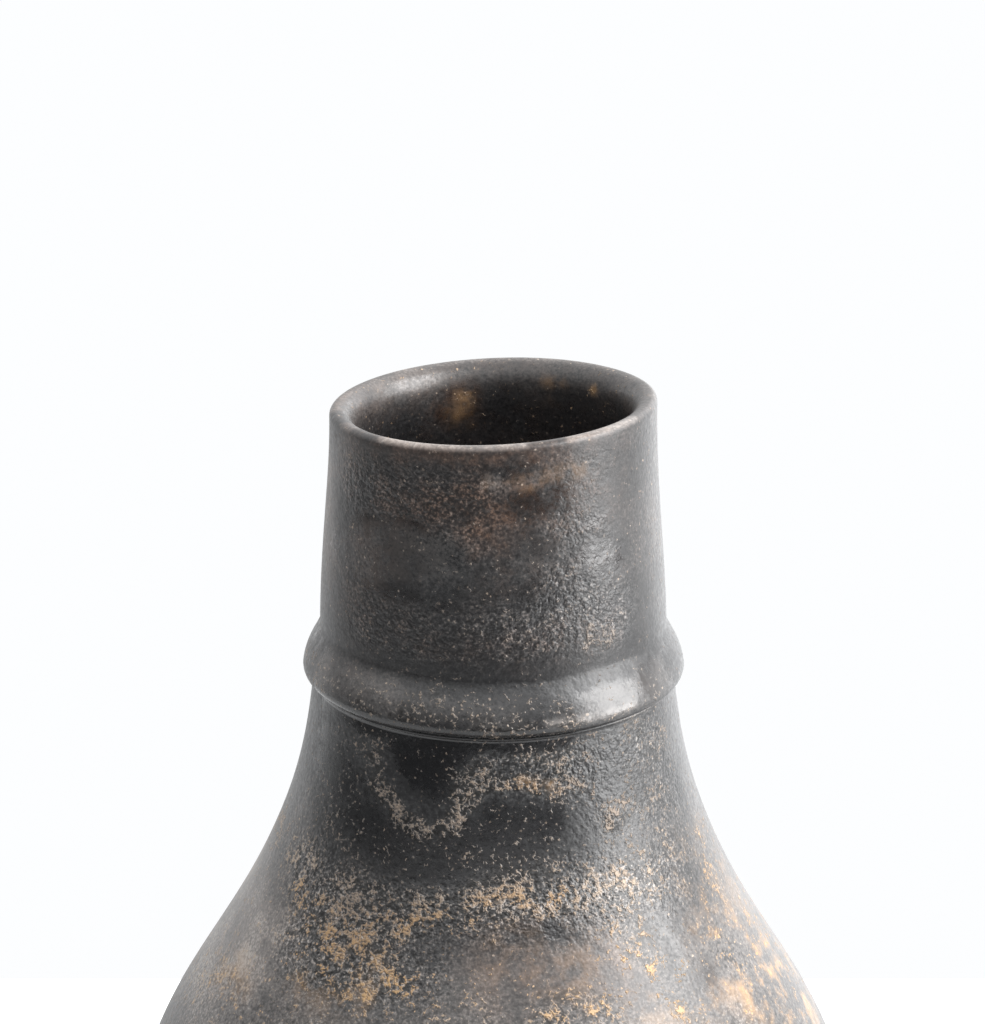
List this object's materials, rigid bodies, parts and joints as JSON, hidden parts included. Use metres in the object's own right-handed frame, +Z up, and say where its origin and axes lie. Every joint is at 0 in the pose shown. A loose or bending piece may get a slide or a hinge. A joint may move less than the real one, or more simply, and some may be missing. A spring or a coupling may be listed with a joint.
{
  "type": "vase",
  "caption": "Tall round vase thrown in one piece: wide-shouldered body on a trimmed foot, raised collar and straight open neck with a rolled lip.",
  "frame": {"origin": "centre of the foot, on the surface that the vase stands on", "axes": "+Z up along the vase's axis of revolution, X and Y free; -Y is the side that the picture shows"},
  "size_m": [0.21, 0.21, 0.36],
  "materials": {
    "stoneware": "satin charcoal glaze with a sandy rust and ochre crust"
  },
  "bodies": {
    "root": {"vase": "stoneware"}
  },
  "joints": []
}
